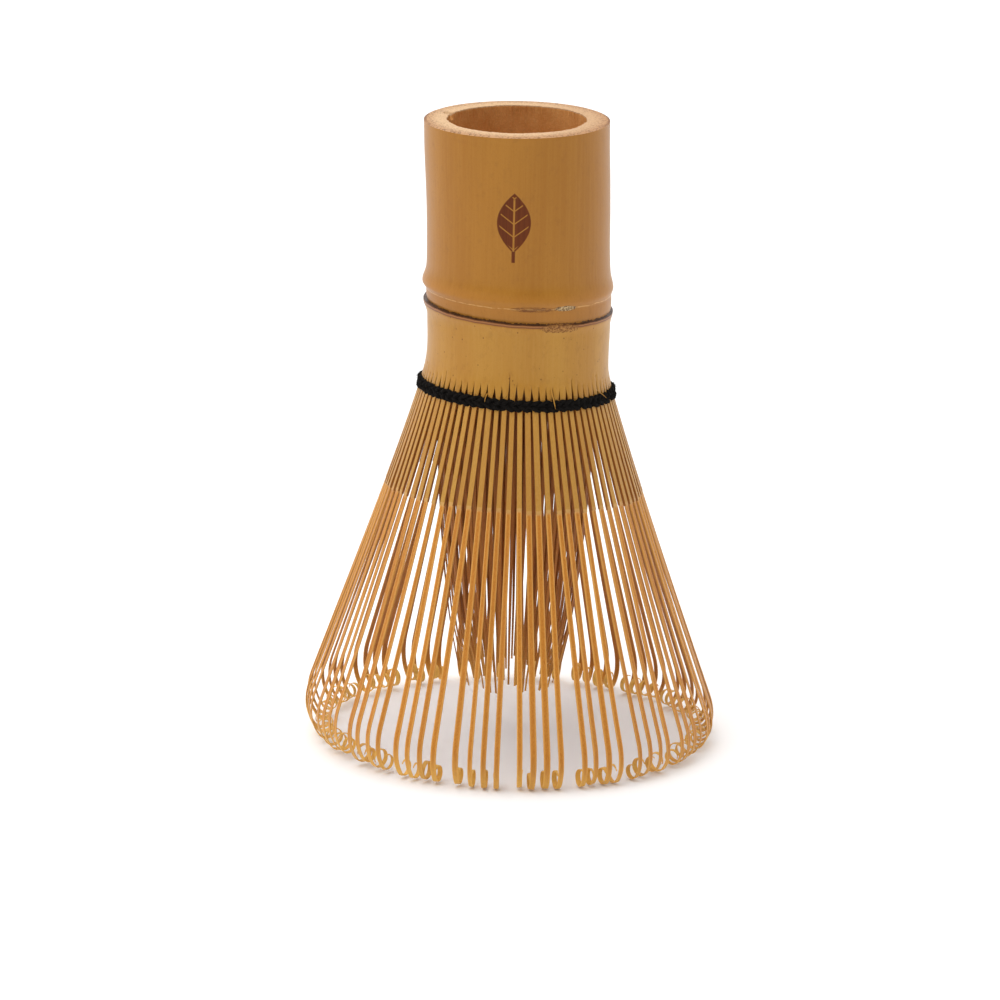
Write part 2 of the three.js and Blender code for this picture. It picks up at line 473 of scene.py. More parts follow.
def with_blemishes(look, tone, level, spots):
    """Two old blemishes on the node's line, a brown one and a corky one. Returns the tone and
    where the cork is."""
    lines = look.noise(stretch=(0.35, 0.35, 2.6), scale=2.6, detail=4, roughness=0.7)
    brown = front_patch(look, level, 2.3, NODE_HEIGHT, 3.9, 0.5, lines)
    brown = look.times(brown, look.smooth(lines, 0.4, 0.52))
    tone = look.over(tone, (96, 50, 14), brown, 0.75)
    cork = front_patch(look, level, 7.6, NODE_HEIGHT + 0.05, 1.8, 0.45, spots)
    cork_tone = look.mix(look.smooth(spots, 0.42, 0.58), (104, 72, 42), (206, 178, 130))
    return look.mix(cork, tone, cork_tone), cork


def with_scar(look, tone, over_scar, spots):
    """The sheath scar: a ragged black line over a lip of thin brown and tan lines, the tan one a
    painted highlight where the ledge turns, and a rough tan spot that hangs from it. Returns the
    tone and where the spot is."""
    lip = look.times(look.smooth(over_scar, -0.62, -0.52), look.smooth(over_scar, 0.05, 0.0))
    # The tan line just under the scar is a painted highlight on the ledge's bend.
    lip_tone = look.mix(look.band(over_scar, -0.26, 0.03, 0.08), (118, 68, 38), (168, 112, 66))
    tone = look.over(tone, lip_tone, lip, 0.85)
    rag = look.smooth(look.noise(scale=1.7, detail=5, roughness=0.7), 0.32, 0.72)
    over_edge = look.minus(over_scar, look.scaled(rag, 0.3, 0.04))
    black = look.times(look.smooth(over_edge, 0.05, -0.03), look.smooth(over_scar, -0.1, -0.04))
    tone = look.over(tone, (58, 36, 22), black, 0.9)
    hang = front_patch(look, over_scar, 6.8, -0.55, 3.2, 0.85, spots)
    hang_tone = look.mix(look.smooth(spots, 0.4, 0.62), (100, 58, 22), (186, 132, 70))
    return look.over(tone, hang_tone, hang, 0.85), hang


def with_specks(look, tone, over_scar):
    """Faint smudges, and dark specks that are more frequent below the scar."""
    smudge = look.noise(stretch=(1, 1, 0.6), scale=0.9, detail=5, roughness=0.7, shift=(4, 1, 8))
    tone = look.over(tone, (142, 92, 34), look.smooth(smudge, 0.52, 0.68), 0.22)
    specks = look.smooth(look.cells((1, 1, 0.7), 1.15), 0.16, 0.07)
    chosen = look.smooth(look.noise(scale=0.8, shift=(5, 5, 5)), 0.48, 0.56)
    below = look.plus(look.times(look.smooth(over_scar, 0.5, -0.5), 0.6), 0.15)
    return look.mix(look.times(specks, look.times(chosen, below)), tone, (90, 50, 18))


def skin_material():
    """The culm's waxy skin, with its node, its scar, specks and the burnt leaf."""
    look = Look("bamboo_skin", 0.36, 0.25)
    level = look.attribute("level")
    over_scar = look.attribute("over_scar")
    streaks = look.noise(stretch=(1, 1, 0.02), scale=2.2, detail=3, roughness=0.6)
    grain = look.noise(stretch=(1, 1, 0.5), scale=5.0, detail=3, roughness=0.7)
    spots = look.noise(scale=3.0, detail=4, roughness=0.75)
    tone = skin_wood(look, over_scar, streaks, grain)
    tone = with_node(look, tone, level)
    tone, cork = with_blemishes(look, tone, level, spots)
    tone, hang = with_scar(look, tone, over_scar, spots)
    tone = with_specks(look, tone, over_scar)
    # The leaf is darker where the fibres took more heat.
    burn = look.mix(look.smooth(streaks, 0.3, 0.7), (90, 38, 2), (106, 48, 5))
    leaf = leaf_mark(look)
    tone = look.mix(leaf, tone, burn)
    # The slots between the teeth are brown, partly as their inner wood and partly as painted
    # shade in the recess.
    tone = look.mix(look.smooth(look.attribute("notch"), 0.02, 0.3), tone, (120, 66, 22))

    relief = look.scaled(streaks, 0.3, look.times(grain, 0.2))
    relief = look.minus(relief, look.times(leaf, 0.9))
    relief = look.plus(relief, look.times(cork, spots))
    rough_places = look.largest(leaf, look.largest(cork, hang))
    roughness = look.largest(look.scaled(grain, 0.12, 0.32), look.times(rough_places, 0.65))
    look.put(look.shader.inputs["Roughness"], roughness)
    return look.finish(tone, relief, depth=0.03)


def end_grain_material():
    """The sawn ring at the top: pale wood with pores, darker towards the skin. The skin's own
    edge is dark at the back and the sides, and left pale at the front as a painted highlight on
    the bevel."""
    look = Look("bamboo_end_grain", 0.62, 0.3)
    x, y, _ = look.axes()
    x = look.minus(x, float(culm_bow(RIM_HEIGHT)))
    radius = look.calculate("SQRT", look.plus(look.times(x, x), look.times(y, y)))
    pale = look.mix(look.noise(scale=1.2, detail=3), (216, 180, 138), (204, 164, 119))
    darker = look.smooth(radius, BORE_RADIUS + 1.2, CULM_RADIUS - 0.2)
    tone = look.mix(darker, pale, (192, 146, 102))
    outwards = look.smooth(radius, BORE_RADIUS, CULM_RADIUS)
    pores = look.smooth(look.cells((1, 1, 0.2), 3.0), 0.46, 0.3)
    pores = look.times(pores, look.scaled(outwards, 0.75, 0.2))
    tone = look.mix(pores, tone, (130, 90, 56))
    tone = look.over(tone, (164, 114, 70), look.smooth(x, 0.0, 13.0), 0.35)
    # The dark skin edge fades out towards the front, where the pale wood left there is a painted
    # highlight on the bevel.
    edge = look.times(look.smooth(radius, CULM_RADIUS - 0.5, CULM_RADIUS - 0.25),
                      look.smooth(y, -9.0, 3.0))
    tone = look.over(tone, (122, 78, 46), edge, 0.9)
    return look.finish(tone, look.minus(1.0, pores), depth=0.06)


def bore_material():
    """The bore's pithy wall."""
    look = Look("bamboo_bore", 0.8, 0.2)
    broad = look.noise(scale=0.3, detail=4, roughness=0.6)
    fine = look.noise(scale=2.6, detail=4, roughness=0.75)
    tone = look.mix(look.smooth(broad, 0.3, 0.7), (208, 148, 84), (196, 132, 68))
    tone = look.over(tone, (228, 172, 108), look.smooth(fine, 0.45, 0.75), 0.5)
    return look.finish(tone, fine, depth=0.12)


def outer_tine_material():
    """Split bamboo: tan skin above the ring, shaved orange wood with paler edges below it, and
    yellow at the thin tips, which is painted light shining through them. The bare sides and the
    inner faces are browner, partly as their own wood and partly as painted shade."""
    look = Look("bamboo_outer_tines", 0.42, 0.3)
    across = look.attribute("across")
    fibres = look.fibres(0.04)
    upper = look.mix(fibres, (186, 134, 56), (196, 147, 68))
    upper = look.mix(look.smooth(across, 0.86, 1.0), upper, (160, 100, 42))
    lower = look.mix(fibres, (184, 111, 30), (206, 137, 50))
    lower = look.mix(look.smooth(across, 0.3, 0.8), lower, (224, 164, 82))
    tone = look.mix(look.attribute("skin"), lower, upper)
    tone = look.over(tone, (228, 184, 122), look.attribute("ring"), 0.3)
    # Yellow towards the tips is painted light, for the light that shines through the thin wood.
    tone = look.mix(look.attribute("tip"), tone, (246, 196, 96))
    # The bare sides and inner faces are darkened, partly as browner pith-side wood and partly as
    # painted shade between and behind the tines.
    tone = look.over(tone, (154, 92, 36), look.attribute("inside"), 0.8)
    tone = look.over(tone, (166, 104, 38), look.attribute("tone"), 0.3)
    return look.finish(tone, fibres, depth=0.02)


def inner_tine_material():
    """The inner row is pith-side wood, browner than the outer one. It is darkest at its roots, a
    painted shade for the crowded bundle under the weave.
    """
    look = Look("bamboo_inner_tines", 0.5, 0.25)
    fibres = look.fibres(0.05)
    tone = look.mix(fibres, (176, 108, 42), (194, 128, 56))
    tone = look.mix(look.attribute("tip"), tone, (226, 166, 76))
    # Painted shade near the roots, where the tines crowd under the weave.
    tone = look.over(tone, (128, 70, 22), look.attribute("root"), 0.65)
    tone = look.over(tone, (136, 76, 26), look.attribute("tone"), 0.6)
    return look.finish(tone, fibres, depth=0.02)


def thread_material():
    """Black cotton, a little browner where the fibres stand up."""
    look = Look("black_cotton", 0.95, 0.12)
    fibres = look.noise(scale=8.0, detail=4, roughness=0.8)
    tone = look.mix(look.smooth(fibres, 0.4, 0.8), (15, 12, 10), (36, 32, 29))
    return look.finish(tone, fibres, depth=0.12)


# ---- the culm ----


def bulge(value, middle, below, above):
    """A smooth bump of 1 at middle, with its own width below and above."""
    width = np.where(value < middle, below, above)
    return np.exp(-(((value - middle) / width) ** 2))


def culm_slope(height):
    """How steeply the culm's features climb along X and Y at a height of the untilted culm."""
    heights = (WEAVE_HEIGHT, SCAR_HEIGHT - 3, SCAR_HEIGHT, NODE_HEIGHT, 80, 95)
    along_x = (WEAVE_SLOPE_X, WEAVE_SLOPE_X, SCAR_SLOPE_X, NODE_SLOPE_X, NODE_SLOPE_X,
               RIM_SLOPE_X)
    slope_y = WEAVE_SLOPE_Y * (1 - smooth(64, SCAR_HEIGHT, height))
    return np.interp(height, heights, along_x), slope_y


def culm_bow(height):
    """How far the culm's middle is from the axis: it grew in a slight bow."""
    return curve(BOW_HEIGHTS, BOW_SHIFTS, height)


def place_round(angles, radius, height):
    """Points round the culm, raised by its tilt at that height, and moved by its bow."""
    x = radius * np.cos(angles)
    y = radius * np.sin(angles)
    slope_x, slope_y = culm_slope(height)
    return np.stack([x + culm_bow(height), y, height + slope_x * x + slope_y * y], axis=-1)


# The skin's columns. Each tooth has eight: 0 is the middle of the gap before it, 1 and 7 are in
# the gaps on its two sides, 2 and 6 are its edges, and 3 to 5 are its body.
COLUMNS = TOOTH_COUNT * TOOTH_COLUMNS
TOOTH = np.arange(COLUMNS) // TOOTH_COLUMNS
COLUMN = np.arange(COLUMNS) % TOOTH_COLUMNS
EVEN = FRONT + np.arange(COLUMNS) * WHOLE_TURN / COLUMNS
NEXT_GAP = (TOOTH + 1) % TOOTH_COUNT
AT_NEXT_GAP = COLUMN >= 6
NEAREST_GAP = np.where(AT_NEXT_GAP, NEXT_GAP, TOOTH)
GAP_SIDE = np.where(AT_NEXT_GAP, -1.0, 1.0)
BY_MIDDLE = (COLUMN == 1) | (COLUMN == 7)
IN_GAP = (COLUMN == 0) | BY_MIDDLE
IN_BODY = (COLUMN >= 3) & (COLUMN <= 5)
ON_TOOTH = (COLUMN >= 2) & (COLUMN <= 6)
GAP_SHARE = np.select([COLUMN == 0, BY_MIDDLE], [0.0, 0.72], 1.0)


def draw_gaps():
    """Each gap's half width at the thread, the height that its slot reaches, and its lean."""
    local = np.random.default_rng(7)
    half_width = local.uniform(*GAP_HALF_WIDTHS, TOOTH_COUNT)
    slot_top = WEAVE_HEIGHT + local.normal(2.75, 0.28, TOOTH_COUNT).clip(2.2, 3.4)
    tall = local.choice(TOOTH_COUNT, TALL_SLOTS, replace=False)
    slot_top[tall] += local.uniform(*TALLER_BY, len(tall))
    lean = local.normal(0, 0.06, TOOTH_COUNT)
    return half_width, slot_top, lean


def shaped_columns(gaps, height):
    """At a height of the skin: the azimuth of each column, drawn to the edges of the gaps, the
    depth of the notch there, and how far the tooth is crowned."""
    gap, slot_top, lean = gaps
    open_share = np.clip((slot_top - height) / (slot_top - WEAVE_HEIGHT - 0.9), 0, 1.15)
    half_gap = gap * open_share**1.25 / CULM_RADIUS
    lean = lean * open_share / CULM_RADIUS
    middle = FRONT + NEAREST_GAP * TINE_ANGLE + lean[NEAREST_GAP]
    edge = middle + GAP_SIDE * GAP_SHARE * half_gap[NEAREST_GAP]
    # The last gap is the first again, a whole turn on.
    edge = np.where(AT_NEXT_GAP & (TOOTH == TOOTH_COUNT - 1), edge + WHOLE_TURN, edge)
    body_start = middle + half_gap[NEAREST_GAP]
    next_middle = FRONT + (TOOTH + 1) * TINE_ANGLE + lean[NEXT_GAP]
    body_end = next_middle - half_gap[NEXT_GAP]
    body = body_start + (body_end - body_start) * (COLUMN - 2) / 4
    opened = smooth(0, 0.25, np.maximum(open_share[TOOTH], open_share[NEXT_GAP]))
    angles = EVEN + (np.where(IN_BODY, body, edge) - EVEN) * opened
    depth = NOTCH_DEPTH * smooth(0, 0.9, open_share[NEAREST_GAP]) * IN_GAP
    crown = TOOTH_CROWN * opened * (1 - ((COLUMN - 4) / 2) ** 2) * ON_TOOTH
    return angles, depth, crown


def skin_relief(height, over_scar):
    """How far the skin stands out round the culm: the node's ridge and groove, the scar's groove
    and the ledge under it, and a little unevenness."""
    across = np.cos(EVEN)
    ridge = RIDGE * (1 - 0.3 * across) * bulge(height, NODE_HEIGHT + RIDGE_ABOVE_NODE, 0.7, 1.4)
    node_groove = NODE_GROOVE * bulge(height, NODE_HEIGHT - 0.2, 0.3, 0.2)
    scar_groove = SCAR_GROOVE * bulge(over_scar, 0.1, 0.1, 0.3)
    ledge = smooth(-2.2, -0.25, over_scar) * smooth(0.06, -0.06, over_scar)
    ledge = SCAR_LEDGE * (1 - 0.25 * across) * ledge
    return ridge - node_groove - scar_groove + ledge + 0.03 * waves(EVEN, (2, 3, 5), 5)


def culm_rings():
    """The skin from the sawn end down to the teeth: its rings, and at each point the depth of a
    notch, the untilted height, and the height over the scar."""
    # Rings are closer where the skin has more relief.
    heights = np.concatenate([
        np.arange(RIM_HEIGHT - RIM_BEVEL, 80.5, -1.2),
        np.arange(80, 77.6, -0.4),
        np.arange(77.4, 74.2, -0.16),
        np.arange(74.1, 71.8, -0.07),
        np.arange(71.6, 66.5, -0.8),
        np.arange(66.0, TOOTH_END, -0.26),
        [TOOTH_END],
    ])
    gaps = draw_gaps()
    wobble = 0.03 * waves(EVEN, (9, 17, 31), 3) + 0.012 * waves(EVEN, (53, 88, 170), 4)
    rings = []
    notches = []
    over_scars = []
    for height in heights:
        angles, depth, crown = shaped_columns(gaps, height)
        over_scar = height - SCAR_HEIGHT - wobble
        skin = curve(SKIN_HEIGHTS, SKIN_RADII, height) + skin_relief(height, over_scar)
        rings.append(place_round(angles, skin - depth + crown, height))
        notches.append(depth)
        over_scars.append(over_scar)
    levels = np.broadcast_to(heights[:, None], (len(heights), COLUMNS))
    return np.array(rings), np.array(notches), levels, np.array(over_scars)


def bore_rings(broad):
    """From the middle of the septum's top out to the bore's wall, and up it."""
    septum = [(MIDDLE_RADIUS, SEPTUM_TOP - 0.4), (5, SEPTUM_TOP - 0.3), (9.4, SEPTUM_TOP),
              (10.7, SEPTUM_TOP + 0.7), (11.1, SEPTUM_TOP + 2)]
    rings = [place_round(EVEN, radius, height) for radius, height in septum]
    for height in np.arange(SEPTUM_TOP + 4, RIM_HEIGHT - 1.4, 2.2):
        radius = BORE_RADIUS + BORE_WANDER * broad + 0.05 * waves(EVEN + height, (11, 19, 29), 14)
        rings.append(place_round(EVEN, radius, height))
    return rings


def mouth_rings(broad):
    """The bore's ragged mouth with its one chip, and the sawn ring out to near the skin."""
    ragged = 0.09 * waves(EVEN, (7, 13, 23, 41, 67), 11) + 0.06 * waves(EVEN, (97, 151, 211), 12)
    away = np.abs((EVEN - CHIP_AZIMUTH + math.pi) % WHOLE_TURN - math.pi)
    chip = np.exp(-((away / CHIP_HALF_ANGLE) ** 4))
    bore = BORE_RADIUS + BORE_WANDER * broad
    wall = []
    for drop, out in ((1.2, 0.0), (0.55, 0.0), (0.2, 0.02), (0.04, 0.07)):
        radius = bore + out + ragged * (1 - 0.6 * drop) + 0.55 * chip * (drop < 1)
        chipped = 0.6 * chip * (drop < 0.5)
        wall.append(place_round(EVEN, radius, RIM_HEIGHT - drop - chipped))
    sawn = []
    for share in (0.06, 0.3, 0.55, 0.8, 0.93):
        mouth = bore + (ragged + 1.1 * chip) * (1 - share)
        radius = mouth + (CULM_RADIUS - 0.14 - mouth) * share
        sawn.append(place_round(EVEN, radius, RIM_HEIGHT - 0.5 * chip * (share < 0.1)))
    return wall, sawn


def skirt_rings():
    """The inside of the culm under the septum, from the teeth up to the middle."""
    places = [(SKIRT_BORE_RADIUS, TOOTH_END + 0.3), (SKIRT_BORE_RADIUS, 66), (11.6, 71),
              (11.0, SEPTUM_BOTTOM - 0.9), (9.6, SEPTUM_BOTTOM), (5, SEPTUM_BOTTOM + 0.3),
              (MIDDLE_RADIUS, SEPTUM_BOTTOM + 0.3)]
    return [place_round(EVEN, radius, height) for radius, height in places]


def culm_piece(materials):
    """The whole culm, wound round its section from the septum's top by way of the bore, the sawn
    ring, the skin and the teeth to the septum's underside."""
    skin, notches, levels, over_scars = culm_rings()
    broad = waves(EVEN, (2, 3, 5, 8), 13)
    wall, sawn = mouth_rings(broad)
    bore = bore_rings(broad) + wall
    skirt = skirt_rings()
    values = {}
    for name, known in (("notch", notches), ("level", levels), ("over_scar", over_scars)):
        above = np.repeat(known[:1], len(bore) + len(sawn), axis=0)
        below = np.repeat(known[-1:], len(skirt), axis=0)
        values[name] = np.concatenate([above, known, below])
    # The edge of the bore's mouth is as pale as the sawn ring.
    slots = [BORE_SLOT] * (len(bore) - 2) + [GRAIN_SLOT] * (len(sawn) + 2)
    slots += [SKIN_SLOT] * (len(skin) - 1) + [BORE_SLOT] * len(skirt)
    lofts = Lofts()
    lofts.add([*bore, *sawn, *skin, *skirt], materials=slots, **values)
    add_splinters(lofts)
    return lofts.build("carved_culm_handle", materials)


def add_splinters(lofts):
    """Slivers of skin that have lifted and stand over the thread."""
    for turn, top, bottom, width in SPLINTERS:
        azimuth = math.radians(turn)
        height = weave_height(azimuth)
        share = np.linspace(0, 1, 9)
        radii = curve((0, 0.35, 0.7, 1), (15.05, 15.75, 16.5, 16.85), share)
        path = np.stack([radii, height + top + (bottom - top) * share], axis=1)
        taper = 1 - 0.8 * share
        half = SPLINTER_THICKNESS / 2 * taper
        bevel = half * 0.5
        rings = strip_rings(path, azimuth + 0.01 * share**2, 0.3 * share, width * taper,
                            (half, half), (bevel, bevel))
        lofts.add(rings, notch=0.0, level=height, over_scar=-SCAR_HEIGHT)


# ---- the tines ----


def directions(azimuth):
    """The outward and the sideways directions at azimuths."""
    level = np.zeros_like(azimuth)
    outward = np.stack([np.cos(azimuth), np.sin(azimuth), level], axis=-1)
    side = np.stack([-np.sin(azimuth), np.cos(azimuth), level], axis=-1)
    return outward, side


def strip_rings(path, azimuth, twist, width, faces, bevels):
    """Rings of ten points along a path of (radius, height) points at the given azimuths. The
    strip lies flat to the whisk's side, turned by twist about its own length. faces are how far
    its outer and inner faces stand from the path, and bevels are for their edges."""
    outer, inner = faces
    bevel_out, bevel_in = bevels
    ahead = unit(np.gradient(path, axis=0))
    outward, side = directions(azimuth)
    centre = outward * path[:, :1] + UP * path[:, 1:]
    normal = -outward * ahead[:, 1:] + UP * ahead[:, :1]
    turned_side = side * np.cos(twist)[:, None] + normal * np.sin(twist)[:, None]
    turned_normal = normal * np.cos(twist)[:, None] - side * np.sin(twist)[:, None]
    edge = width / 2
    middle = np.zeros_like(width)
    crown = 0.1 * bevel_out
    outline = [
        (-edge, bevel_in - inner), (bevel_in - edge, -inner), (middle, -inner),
        (edge - bevel_in, -inner), (edge, bevel_in - inner), (edge, outer - bevel_out),
        (edge - bevel_out, outer), (middle, outer + crown), (bevel_out - edge, outer),
        (-edge, outer - bevel_out),
    ]
    rings = [centre + turned_side * a[:, None] + turned_normal * b[:, None] for a, b in outline]
    return np.stack(rings, axis=1)


# For a strip's ten points: how far each is from the middle of its face, how bare it is of skin
# where the skin is left on, and how much it is on the inner face. The last two darken the wood,
# partly as browner bare wood and partly as painted shade.
ACROSS = np.array([1, 0.7, 0, 0.7, 1, 1, 0.7, 0, 0.7, 1])
UNDER_SKIN = np.array([1, 1, 1, 1, 1, 0.85, 0, 0, 0, 0.85])
INNER_FACE = np.array([0.8, 1, 1, 1, 0.8, 0.1, 0, 0, 0, 0.1])


def unit(vectors):
    """Rows scaled to a length of 1."""
    return vectors / np.linalg.norm(vectors, axis=1)[:, None]


def weave_over(x, y):
    """The height of the weave's plane."""
    return WEAVE_HEIGHT + WEAVE_SLOPE_X * x + WEAVE_SLOPE_Y * y


def weave_height(azimuth):
    """The height of the weave's plane at the culm's skin."""
    return weave_over(CULM_RADIUS * math.cos(azimuth), CULM_RADIUS * math.sin(azimuth))


def bezier(points, share):
    """A cubic curve from the first to the last of four points."""
    a, b, c, d = (np.asarray(point, float) for point in points)
    t = share[:, None]
    return a * (1 - t) ** 3 + 3 * b * t * (1 - t) ** 2 + 3 * c * t * t * (1 - t) + d * t**3


def lengths_along(path):
    """Each point's distance along a path from its start."""
    return np.concatenate([[0], np.cumsum(np.linalg.norm(np.diff(path, axis=0), axis=1))])


def towards_middle(offset, shift):
    """A sideways shift that only goes inwards at the two edges of a section."""
    if abs(offset) < TINE_ANGLE:
        return shift
    return -math.copysign(shift, offset)


def curl(local, start, azimuth):
    """The tine's end from its shoulder: two wide arcs, and then a loop that winds inwards."""
    loop_radius = local.uniform(*LOOP_RADII)
    loop_end = -math.radians(local.uniform(*LOOP_ENDS))
    arcs = [(SHOULDER_ARC, turn) for turn in np.linspace(FLARE_BOTTOM, 0, 7)[1:]]
    # The tines on the left turn in sooner than those on the right.
    turn_radius = 5.4 - 1.6 * math.cos(azimuth)
    arcs += [(turn_radius, turn) for turn in np.linspace(0, CURL_IN, 8)[1:]]
    for index, turn in enumerate(np.linspace(CURL_IN, loop_end, LOOP_STEPS + 1)[1:]):
        arcs.append((loop_radius * (1 - LOOP_TIGHTENING * index / LOOP_STEPS), turn))
    points = [start]
    heading = FLARE_BOTTOM
    for radius, turn in arcs:
        step = (math.cos(turn) - math.cos(heading), math.sin(turn) - math.sin(heading))
        points.append(points[-1] + radius * np.array(step))
        heading = turn
    return np.array(points)


def outer_path(local, azimuth):
    """An outer tine's path from under the thread to the end of its curl, how many of its points
    still have their skin, and which one is the shoulder."""
    start = np.array([OUTER_START_RADIUS, weave_height(azimuth) + OUTER_START_OVER_WEAVE])
    rightward = math.cos(azimuth)
    shoulder = np.array([SHOULDER_RADIUS + 0.15 * rightward, SHOULDER_HEIGHT])
    end = curl(local, shoulder, azimuth)
    # Its lowest point is on the floor, or just over it.
    lift = max(-LEFT_LIFT * rightward, RIGHT_LIFT * rightward)
    rise = FLOOR_GAP - end[:, 1].min() + abs(local.normal(0, 0.22)) + lift
    inwards = min(0.0, REACH - REACH_GAP - end[:, 0].max()) - abs(local.normal(0, 0.12))
    end += (inwards, rise)
    shoulder += (inwards, rise)
    third = np.linalg.norm(shoulder - start) / 3
    handles = [
        start,
        start + third * np.array([math.sin(FLARE_TOP), -math.cos(FLARE_TOP)]),
        shoulder - third * np.array([math.sin(FLARE_BOTTOM), -math.cos(FLARE_BOTTOM)]),
        shoulder,
    ]
    # Close stations make the ledge where the skin was shaved away.
    ring = RING_DROP + OUTER_START_OVER_WEAVE + local.normal(0, 0.12)
    ring /= start[1] - shoulder[1]
    above = [*np.linspace(0, ring - 0.022, 10), ring - 0.011, ring - 0.009, ring - 0.001]
    below = [ring + 0.001, ring + 0.006, *np.linspace(ring + 0.02, 1, 18)]
    straight = bezier(handles, np.array(above + below))
    return np.concatenate([straight[:-1], end]), len(above), len(straight) - 1


def outer_azimuths(local, azimuth, section_azimuth, along, shoulder_at):
    """Where the points of an outer tine are round the whisk. A section's tips gather to its
    middle, and each tine sways and its curl drifts to one side."""
    offset = azimuth - section_azimuth
    tip_azimuth = section_azimuth + offset * OUTER_GATHER
    tip_azimuth += towards_middle(offset, spread(local, 0.005))
    sway = spread(local, 0.0028) * np.sin(math.pi * np.clip(along / shoulder_at, 0, 1))
    gathered = azimuth + (tip_azimuth - azimuth) * smooth(0, shoulder_at * 1.1, along)
    drift = towards_middle(offset, spread(local, 0.26)) / SHOULDER_RADIUS
    return gathered + sway + drift * smooth(shoulder_at + 2, along[-1], along)


def outer_tine(lofts, local, azimuth, section_azimuth):
    """One outer tine: split skin as far as the ring, and shaved thin from there to its curl."""
    path, skin_count, shoulder_index = outer_path(local, azimuth)
    along = lengths_along(path)
    total = along[-1]
    shoulder_at = along[shoulder_index]
    angles = outer_azimuths(local, azimuth, section_azimuth, along, shoulder_at)

    is_skin = np.arange(len(path)) < skin_count
    shaved = [SHAVED_FROM, shoulder_at, total]
    width = np.where(is_skin, OUTER_SKIN_WIDTH, np.interp(along, shaved, OUTER_WIDTHS))
    width = width * local.normal(1, 0.07) * (1 - 0.75 * smooth(total - 2.5, total, along))
    outer = np.where(is_skin, 0.17, np.interp(along, shaved, [0.12, 0.1, 0.05]))
    inner = np.where(is_skin, np.interp(along, [0, SHAVED_FROM], [0.36, 0.3]),
                     np.interp(along, shaved, [0.2, 0.13, 0.06]))
    bevel_out = np.where(is_skin, 0.05, np.minimum(0.13, outer))
    bevel_in = np.minimum(0.05, inner * 0.5)
    twist = local.normal(0, 0.11) * smooth(2, 45, along)
    rings = strip_rings(path, angles, twist, width, (outer, inner), (bevel_out, bevel_in))

    tip = smooth(shoulder_at + 1.5, shoulder_at + 10, along)
    ring_line = np.zeros(len(path))
    ring_line[skin_count - 2 : skin_count + 1] = 1
    # inside darkens the bare sides and the inner faces, partly as browner wood and partly as
    # painted shade.
    inside = np.where(is_skin[:, None], UNDER_SKIN, 0.6 * INNER_FACE * (1 - tip)[:, None])
    lofts.add(rings, skin=is_skin, ring=ring_line, tip=tip, inside=inside,
              across=np.broadcast_to(ACROSS, rings.shape[:2]), tone=local.uniform(0, 1))


def inner_tine(lofts, local, azimuth, section_azimuth):
    """One inner tine: a thin splint that leans in to the middle, with its tip turned in."""
    weave = weave_height(azimuth)
    end_radius = local.normal(7.9, 0.35)
    end_height = local.uniform(8.6, 11.5)
    handles = [
        (12.75, weave + 0.5),
        (12.6, weave - 15),
        (end_radius + 3.2, 27),
        (end_radius, end_height),
    ]
    stations = np.linspace(0, 1, INNER_STATIONS)
    path = bezier(handles, stations)
    path[:, 0] -= local.uniform(0.2, 1.1) * smooth(0.8, 1, stations)
    along = lengths_along(path)
    share = along / along[-1]
    # The inner tines come from between the outer ones.
    offset = azimuth - section_azimuth
    root_azimuth = azimuth + INNER_SHIFT
    turn = towards_middle(offset, spread(local, 0.02)) - offset * (1 - INNER_GATHER)
    angles = root_azimuth + turn * smooth(0.1, 1, share)
    angles = angles + spread(local, 0.008) * np.sin(math.pi * share)
    width = np.interp(share, [0, 0.3, 0.6, 1], INNER_WIDTHS) * (1 + spread(local, 0.08))
    thickness = np.interp(share, [0, 0.5, 1], INNER_THICKNESSES)
    bevel = np.minimum(0.05, thickness * 0.35)
    half = thickness / 2
    twist = local.normal(0, 0.2) * share
    rings = strip_rings(path, angles, twist, width, (half, half), (bevel, bevel))
    # The root mask is painted shade near the weave, fading along the first part of the tine.
    lofts.add(rings, tip=smooth(0.75, 1, share), root=1 - smooth(0.1, 0.6, share),
              tone=local.uniform(0, 1))


def tine_pieces(kind, make, material):
    """Each section's tines as one piece, which swings on its hinge at the weave."""
    for joint in frame["joints"]:
        if not joint["name"].startswith(kind + "_flex"):
            continue
        x, y, _ = joint["pos_m"]
        section_azimuth = math.atan2(y, x)
        number = joint["name"][-2:]
        local = np.random.default_rng([len(kind), int(number), 19])
        lofts = Lofts()
        for i in range(TINES_PER_SECTION):
            offset = (i - (TINES_PER_SECTION - 1) / 2) * TINE_ANGLE
            make(lofts, local, section_azimuth + offset, section_azimuth)
        piece = lofts.build(f"{kind}_tine_section_{number}", [material])
        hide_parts(f"{kind}_tines_{number}")
        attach(piece, joint["child"])


# ---- the threads ----


